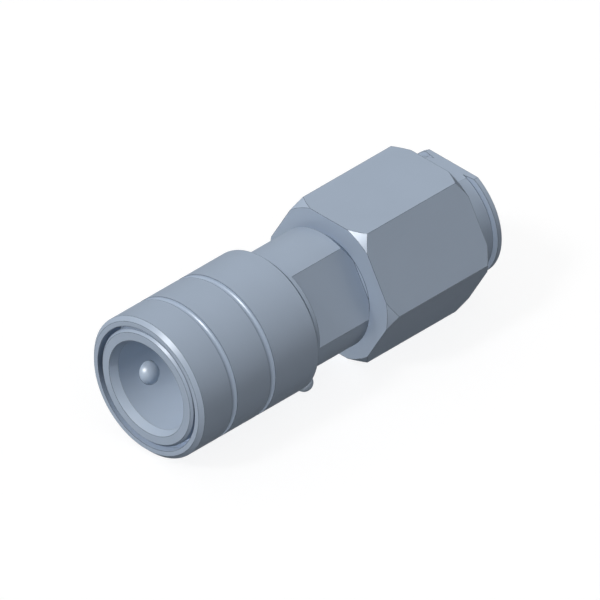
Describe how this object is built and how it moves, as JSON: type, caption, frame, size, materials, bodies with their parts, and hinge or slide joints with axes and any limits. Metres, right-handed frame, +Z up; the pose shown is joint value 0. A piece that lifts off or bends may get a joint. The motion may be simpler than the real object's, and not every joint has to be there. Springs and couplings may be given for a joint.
{
  "type": "push-pull coupling",
  "caption": "Socket half of a ball-lock fluid coupling with a sprung push-pull sleeve, flatted neck, long hexagon housing, poppet valve and threaded rear port.",
  "frame": {"origin": "centre of the nose's front face, where the plug enters", "axes": "+X along the coupling's axis from the mouth to the rear port, +Z up, out of a flat of the hexagon housing, with the coupling lying on the opposite flat"},
  "size_m": [0.1131, 0.0474, 0.041],
  "materials": {
    "plated_steel": "satin turned and plated",
    "turned_steel": "fine turned",
    "bright_steel": "polished",
    "spring_steel": "drawn wire and stamped strip",
    "seal_rubber": "matte",
    "backup_plastic": "waxy"
  },
  "bodies": {
    "socket": {"socket_body": "plated_steel", "hex_housing": "plated_steel", "end_fitting": "plated_steel", "lock_pin": "bright_steel", "locking_ball_1": "bright_steel", "locking_ball_2": "bright_steel", "locking_ball_3": "bright_steel", "locking_ball_4": "bright_steel", "sleeve_stop_ring": "spring_steel", "sleeve_spring": "spring_steel", "plug_seal": "seal_rubber", "plug_backup_ring": "backup_plastic", "poppet_spring": "spring_steel", "valve_guide": "turned_steel", "guide_snap_ring": "spring_steel", "front_joint_seal": "seal_rubber", "rear_joint_seal": "seal_rubber"},
    "sleeve": {"sleeve": "plated_steel", "sleeve_guide_ring": "turned_steel", "sleeve_snap_ring": "spring_steel"},
    "poppet": {"poppet_stem": "turned_steel", "poppet_seal": "seal_rubber", "poppet_nose": "turned_steel"}
  },
  "joints": [
    {"name": "sleeve_slide", "type": "slide", "parent": "socket", "child": "sleeve", "axis": [1, 0, 0], "range_m": [-0.0048, 0.0048], "stiffness_N_per_m": 2000, "deforming": ["sleeve_spring"]},
    {"name": "poppet_slide", "type": "slide", "parent": "socket", "child": "poppet", "axis": [1, 0, 0], "range_m": [0, 0.006], "stiffness_N_per_m": 4300, "springref_m": -0.0064, "deforming": ["poppet_spring"]}
  ]
}
